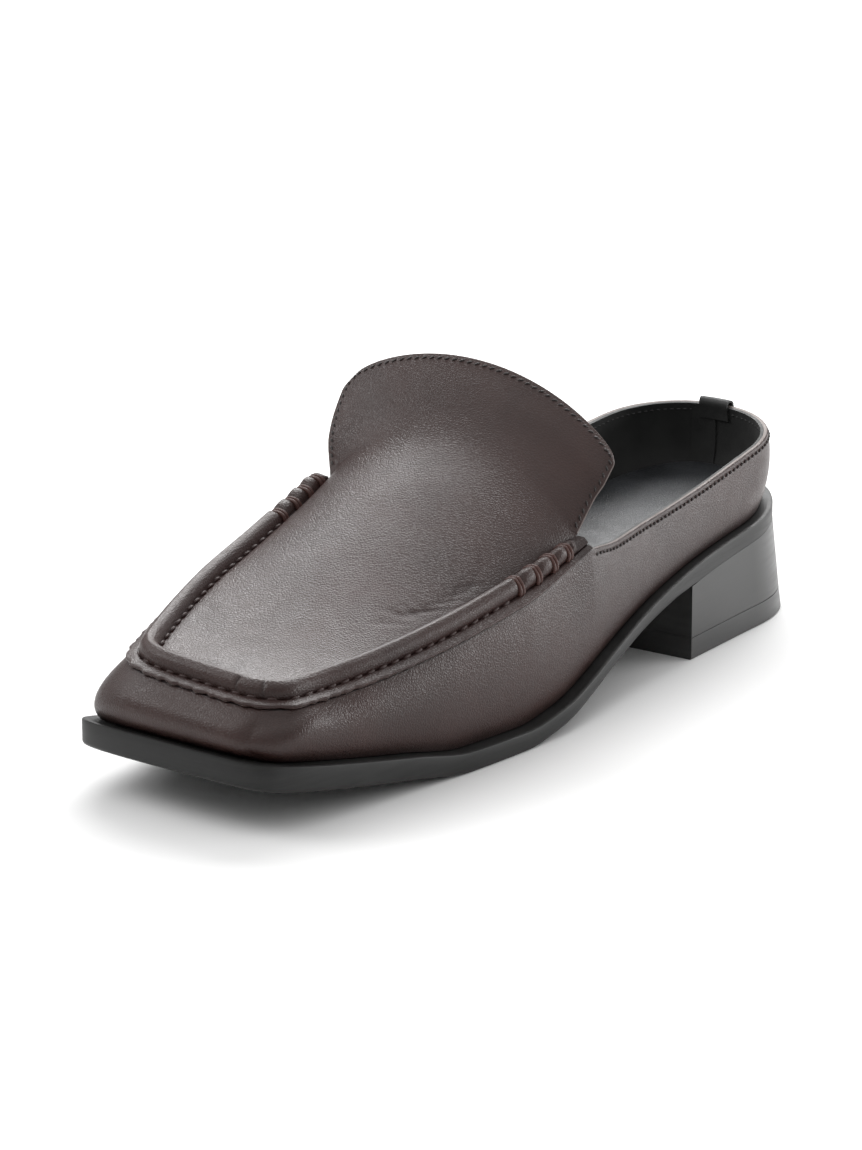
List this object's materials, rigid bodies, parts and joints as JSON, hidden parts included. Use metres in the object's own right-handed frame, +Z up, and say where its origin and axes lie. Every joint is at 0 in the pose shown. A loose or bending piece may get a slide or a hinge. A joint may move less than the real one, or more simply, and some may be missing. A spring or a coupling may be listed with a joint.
{
  "type": "loafer mule",
  "caption": "Slip-on left shoe with a square toe, a raised moccasin seam, a high tongue, a low closed collar and a block heel.",
  "frame": {"origin": "On the floor, under the centre of the shoe's box in plan.", "axes": "+Y runs from the toe to the heel, +X points to the outer side of the left foot, +Z is up."},
  "size_m": [0.0892, 0.2646, 0.0911],
  "materials": {
    "brown_leather": "smooth satin",
    "black_lining": "soft matt",
    "black_sole": "satin edge"
  },
  "bodies": {
    "root": {"upper": "brown_leather", "insole": "black_lining", "heel_tab": "black_lining", "outsole": "black_sole", "heel_block": "black_sole", "heel_top_piece": "black_sole"}
  },
  "joints": []
}
